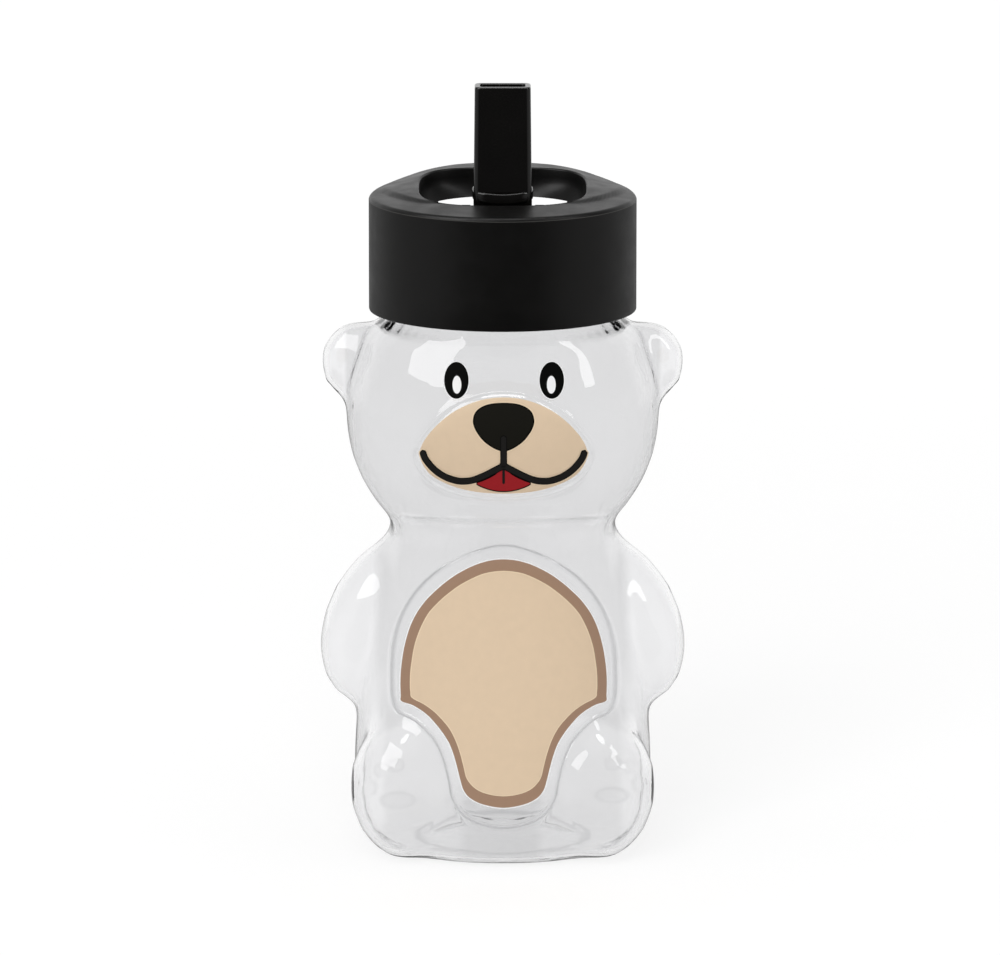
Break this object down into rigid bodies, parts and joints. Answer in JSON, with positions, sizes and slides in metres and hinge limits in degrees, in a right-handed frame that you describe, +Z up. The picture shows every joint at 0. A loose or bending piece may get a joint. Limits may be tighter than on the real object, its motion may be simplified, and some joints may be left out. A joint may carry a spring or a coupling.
{
  "type": "bear-shaped water bottle",
  "caption": "Clear bear-shaped drinking bottle with a black screw lid, a carry hoop and a flip-up spout.",
  "frame": {"origin": "on the axis of the neck and lid, on the plane that the base stands on", "axes": "+Z up along the neck's axis; the bear faces -Y; its left arm is at +X; the carry hoop is at +Y"},
  "size_m": [0.0958, 0.0753, 0.2047],
  "materials": {
    "clear_plastic": "clear, gloss, blow-moulded, with printed eyes, muzzle and belly patch",
    "satin_black": "satin, fine moulded grain",
    "gloss_black": "gloss",
    "gloss_black_spout": "polished gloss",
    "clear_silicone": "soft matte silicone",
    "grey_silicone": "soft matte silicone",
    "dark_silicone": "soft matte silicone"
  },
  "bodies": {
    "bottle": {"bottle_body": "clear_plastic"},
    "gasket_ring": {"lid_gasket": "clear_silicone"},
    "lid": {"lid_shell": "satin_black", "lid_insert": "gloss_black", "spout_seal": "grey_silicone", "vent_valve": "dark_silicone"},
    "spout": {"drinking_spout": "gloss_black_spout"}
  },
  "joints": [
    {"name": "lid_lift", "type": "slide", "parent": "bottle", "child": "gasket_ring", "axis": [0, 0, 1], "range_m": [0, 0.0049]},
    {"name": "lid_turn", "type": "hinge", "parent": "gasket_ring", "child": "lid", "pos_m": [0, 0, 0.1512], "axis": [0, 0, 1], "range_deg": [0, 420]},
    {"name": "spout_flip", "type": "hinge", "parent": "lid", "child": "spout", "pos_m": [0, -0.0145, 0.1705], "axis": [-1, 0, 0], "range_deg": [0, 88]}
  ],
  "couplings": [
    {"joint": "lid_lift", "follows": "lid_turn", "m_per_rad": 0.00066845}
  ]
}
